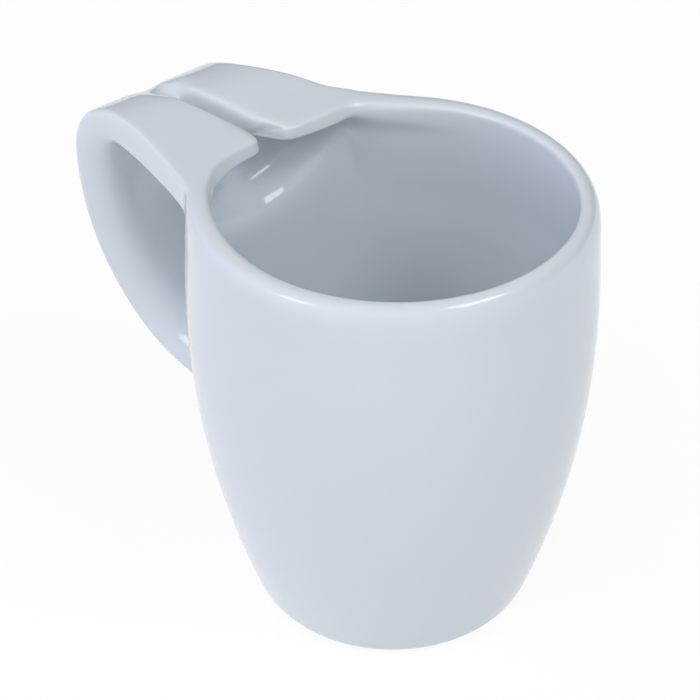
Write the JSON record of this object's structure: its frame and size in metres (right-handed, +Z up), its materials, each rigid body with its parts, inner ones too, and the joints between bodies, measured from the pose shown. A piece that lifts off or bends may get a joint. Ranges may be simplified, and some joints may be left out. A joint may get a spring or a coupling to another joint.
{
  "type": "mug with a split strap handle",
  "caption": "Glazed barrel-shaped mug whose wide strap handle runs out of the rim and is split by a slot that holds a tea bag's string over the bowl.",
  "frame": {"origin": "under the middle of the whole mug with its handle, on the surface that the foot ring stands on", "axes": "+Z up along the mug's axis, +X from the body to the handle, +Y to the left of someone who holds the handle and looks along +X"},
  "size_m": [0.116, 0.0828, 0.096],
  "materials": {
    "glaze": "glossy bluish white glaze",
    "bare_foot": "unglazed and ground, matt"
  },
  "bodies": {
    "root": {"bowl": "glaze", "foot_ring": "bare_foot", "handle_strand_left": "glaze", "handle_strand_right": "glaze", "handle_bow": "glaze"}
  },
  "joints": []
}
